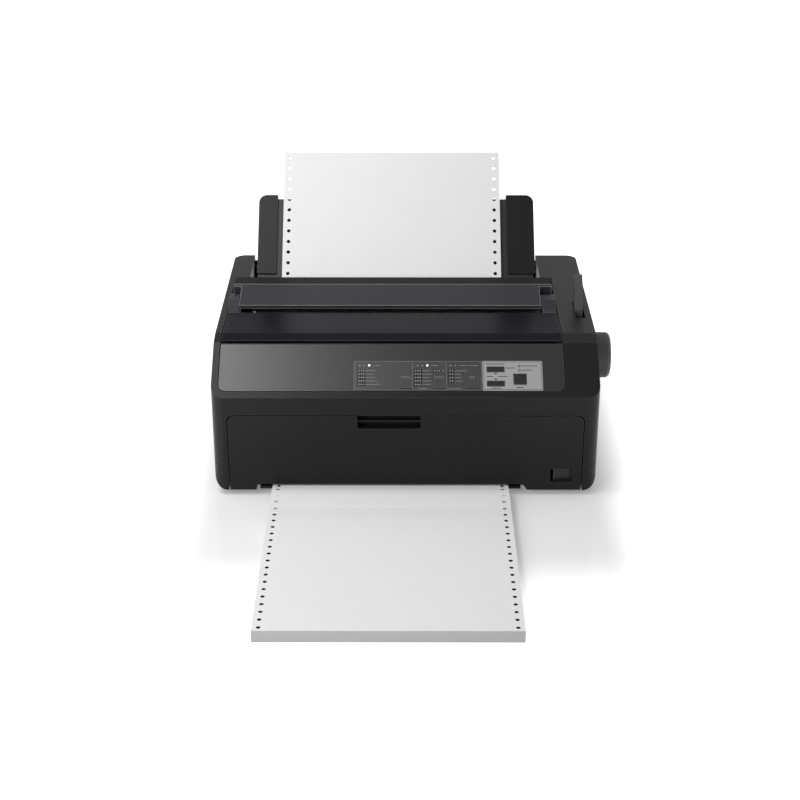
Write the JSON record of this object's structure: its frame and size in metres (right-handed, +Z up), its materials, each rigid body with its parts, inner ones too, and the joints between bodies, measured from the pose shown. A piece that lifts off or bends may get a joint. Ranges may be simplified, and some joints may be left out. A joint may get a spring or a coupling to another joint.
{
  "type": "dot matrix printer",
  "caption": "Desktop impact printer with a sloping control panel, smoked top cover, hinged covers, adjustable rear paper guide, platen knob and fanfold paper fed from the front.",
  "frame": {"origin": "on the desk under the middle of the case: midway between its side walls and between its front face and rear wall", "axes": "+X to the user's right, -Y towards the user (the front face with the paper stack), +Z up"},
  "size_m": [0.4145, 0.5837, 0.2692],
  "materials": {
    "case_black": "fine moulded texture",
    "cover_black": "fine moulded texture",
    "smoked": "smoked, satin",
    "button_black": "satin",
    "knob_grey": "satin",
    "lever_grey": "satin",
    "legend_dark": "satin film",
    "legend_light": "satin film",
    "lamp_window": "clear windows",
    "rubber_black": "matte",
    "steel": "zinc plated",
    "gear_white": "acetal",
    "board_green": "solder mask",
    "motor_metal": "satin",
    "head_metal": "cast",
    "ribbon_cloth": "inked",
    "paper_white": "uncoated"
  },
  "bodies": {
    "chassis": {"lower_case": "case_black", "upper_case": "case_black", "rubber_feet": "rubber_black", "control_panel": "case_black", "legend_plate_dark": "legend_dark", "legend_plate_light": "legend_light", "status_lamps": "lamp_window", "panel_board": "board_green", "paper_chute": "steel", "side_frame_left": "steel", "side_frame_right": "steel", "base_pan": "steel", "platen_bushes": "gear_white", "feed_motor": "motor_metal", "tractor_rail": "steel", "carriage_shaft": "steel", "carriage_rail": "steel", "carriage_motor": "motor_metal", "drive_belt": "rubber_black", "ribbon_cartridge": "case_black", "ribbon": "ribbon_cloth", "power_switch": "button_black", "main_board": "board_green", "power_supply": "steel", "paper": "paper_white"},
    "front_flap": {"front_cover": "case_black"},
    "smoked_lid": {"smoked_cover": "smoked", "cover_clips": "cover_black"},
    "exit_lid": {"exit_cover": "cover_black"},
    "guide": {"paper_guide": "cover_black"},
    "guide_slider_left": {"edge_guide_left": "case_black"},
    "guide_slider_right": {"edge_guide_right": "case_black"},
    "platen": {"platen_roller": "rubber_black", "platen_shaft": "steel", "platen_gear": "gear_white", "platen_knob": "knob_grey"},
    "idler_rear": {"idler_gear_rear": "gear_white"},
    "idler_front": {"idler_gear_front": "gear_white"},
    "pinion": {"feed_pinion": "gear_white"},
    "tractor_drive": {"tractor_shaft": "steel", "tractor_gear": "gear_white"},
    "tractor_l": {"tractor_left": "case_black"},
    "tractor_r": {"tractor_right": "case_black"},
    "sprocket_l": {"tractor_wheel_left": "gear_white"},
    "sprocket_r": {"tractor_wheel_right": "gear_white"},
    "flap_l": {"tractor_flap_left": "cover_black"},
    "flap_r": {"tractor_flap_right": "cover_black"},
    "head_carriage": {"carriage": "case_black", "print_head": "head_metal"},
    "pulley_motor": {"motor_pulley": "steel"},
    "pulley_idler": {"idler_pulley": "gear_white"},
    "ribbon_winder": {"ribbon_knob": "knob_grey"},
    "lever": {"release_lever": "lever_grey"},
    "rocker": {"power_rocker": "button_black"},
    "key_left": {"mode_button_left": "button_black"},
    "key_middle": {"mode_button_middle": "button_black"},
    "key_right": {"mode_button_right": "button_black"},
    "key_load": {"load_button": "button_black"},
    "key_feed": {"feed_button": "button_black"},
    "key_pause": {"pause_button": "button_black"}
  },
  "joints": [
    {"name": "front_cover_hinge", "type": "hinge", "parent": "chassis", "child": "front_flap", "pos_m": [0, -0.1476, 0.0122], "axis": [1, 0, 0], "range_deg": [0, 70]},
    {"name": "smoked_cover_hinge", "type": "hinge", "parent": "chassis", "child": "smoked_lid", "pos_m": [0, 0.008, 0.1455], "axis": [-1, 0, 0], "range_deg": [0, 75]},
    {"name": "exit_cover_hinge", "type": "hinge", "parent": "chassis", "child": "exit_lid", "pos_m": [0, 0.066, 0.146], "axis": [-1, 0, 0], "range_deg": [0, 45]},
    {"name": "paper_guide_tilt", "type": "hinge", "parent": "chassis", "child": "guide", "pos_m": [0, 0.05783, 0.14422], "axis": [-1, 0, 0], "range_deg": [0, 28]},
    {"name": "edge_guide_left_slide", "type": "slide", "parent": "guide", "child": "guide_slider_left", "axis": [1, 0, 0], "range_m": [0, 0.03]},
    {"name": "edge_guide_right_slide", "type": "slide", "parent": "guide", "child": "guide_slider_right", "axis": [1, 0, 0], "range_m": [-0.1, 0]},
    {"name": "platen_turn", "type": "hinge", "parent": "chassis", "child": "platen", "pos_m": [0, -0.015, 0.0975], "axis": [1, 0, 0], "continuous": true},
    {"name": "idler_rear_turn", "type": "hinge", "parent": "chassis", "child": "idler_rear", "pos_m": [-0.1719, -0.04823, 0.07264], "axis": [1, 0, 0], "continuous": true},
    {"name": "idler_front_turn", "type": "hinge", "parent": "chassis", "child": "idler_front", "pos_m": [-0.1719, -0.07465, 0.05287], "axis": [1, 0, 0], "continuous": true},
    {"name": "tractor_shaft_turn", "type": "hinge", "parent": "chassis", "child": "tractor_drive", "pos_m": [0, -0.09988, 0.034], "axis": [1, 0, 0], "continuous": true},
    {"name": "feed_pinion_turn", "type": "hinge", "parent": "chassis", "child": "pinion", "pos_m": [-0.1719, 0.00763, 0.07487], "axis": [1, 0, 0], "continuous": true},
    {"name": "tractor_left_slide", "type": "slide", "parent": "chassis", "child": "tractor_l", "axis": [1, 0, 0], "range_m": [-0.005, 0.013]},
    {"name": "tractor_right_slide", "type": "slide", "parent": "chassis", "child": "tractor_r", "axis": [1, 0, 0], "range_m": [-0.1397, 0.0127]},
    {"name": "sprocket_left_turn", "type": "hinge", "parent": "tractor_l", "child": "sprocket_l", "pos_m": [-0.1296, -0.09988, 0.034], "axis": [1, 0, 0], "continuous": true},
    {"name": "sprocket_right_turn", "type": "hinge", "parent": "tractor_r", "child": "sprocket_r", "pos_m": [0.099, -0.09988, 0.034], "axis": [1, 0, 0], "continuous": true},
    {"name": "tractor_flap_left_hinge", "type": "hinge", "parent": "tractor_l", "child": "flap_l", "pos_m": [-0.1435, -0.09988, 0.04683], "axis": [0, -1, 0], "range_deg": [0, 110]},
    {"name": "tractor_flap_right_hinge", "type": "hinge", "parent": "tractor_r", "child": "flap_r", "pos_m": [0.1129, -0.09988, 0.04683], "axis": [0, 1, 0], "range_deg": [0, 110]},
    {"name": "carriage_slide", "type": "slide", "parent": "chassis", "child": "head_carriage", "axis": [1, 0, 0], "range_m": [0, 0.203]},
    {"name": "motor_pulley_turn", "type": "hinge", "parent": "chassis", "child": "pulley_motor", "pos_m": [0.1279, -0.051, 0.058], "axis": [0, 1, 0], "continuous": true},
    {"name": "idler_pulley_turn", "type": "hinge", "parent": "chassis", "child": "pulley_idler", "pos_m": [-0.1499, -0.051, 0.058], "axis": [0, 1, 0], "continuous": true},
    {"name": "ribbon_knob_turn", "type": "hinge", "parent": "chassis", "child": "ribbon_winder", "pos_m": [-0.1526, -0.07988, 0.124], "axis": [0, 0, 1], "continuous": true},
    {"name": "release_lever_tilt", "type": "hinge", "parent": "chassis", "child": "lever", "pos_m": [0.1838, -0.012, 0.125], "axis": [1, 0, 0], "range_deg": [0, 30]},
    {"name": "power_rocker_tilt", "type": "hinge", "parent": "chassis", "child": "rocker", "pos_m": [0.15895, -0.137, 0.0218], "axis": [0, 0, 1], "range_deg": [-16, 0]},
    {"name": "mode_left_press", "type": "slide", "parent": "chassis", "child": "key_left", "axis": [0, 0.5878, -0.809], "range_m": [0, 0.001], "stiffness_N_per_m": 300},
    {"name": "mode_middle_press", "type": "slide", "parent": "chassis", "child": "key_middle", "axis": [0, 0.5878, -0.809], "range_m": [0, 0.001], "stiffness_N_per_m": 300},
    {"name": "mode_right_press", "type": "slide", "parent": "chassis", "child": "key_right", "axis": [0, 0.5878, -0.809], "range_m": [0, 0.001], "stiffness_N_per_m": 300},
    {"name": "load_press", "type": "slide", "parent": "chassis", "child": "key_load", "axis": [0, 0.5878, -0.809], "range_m": [0, 0.001], "stiffness_N_per_m": 300},
    {"name": "feed_press", "type": "slide", "parent": "chassis", "child": "key_feed", "axis": [0, 0.5878, -0.809], "range_m": [0, 0.001], "stiffness_N_per_m": 300},
    {"name": "pause_press", "type": "slide", "parent": "chassis", "child": "key_pause", "axis": [0, 0.5878, -0.809], "range_m": [0, 0.001], "stiffness_N_per_m": 300}
  ],
  "couplings": [
    {"joint": "idler_rear_turn", "follows": "platen_turn", "ratio": -1.5152},
    {"joint": "idler_front_turn", "follows": "platen_turn", "ratio": 1.5152},
    {"joint": "tractor_shaft_turn", "follows": "platen_turn", "ratio": -1.6667},
    {"joint": "sprocket_left_turn", "follows": "platen_turn", "ratio": -1.6667},
    {"joint": "sprocket_right_turn", "follows": "platen_turn", "ratio": -1.6667},
    {"joint": "feed_pinion_turn", "follows": "platen_turn", "ratio": -3.5714},
    {"joint": "motor_pulley_turn", "follows": "carriage_slide", "rad_per_m": 166.67},
    {"joint": "idler_pulley_turn", "follows": "carriage_slide", "rad_per_m": 166.67}
  ]
}
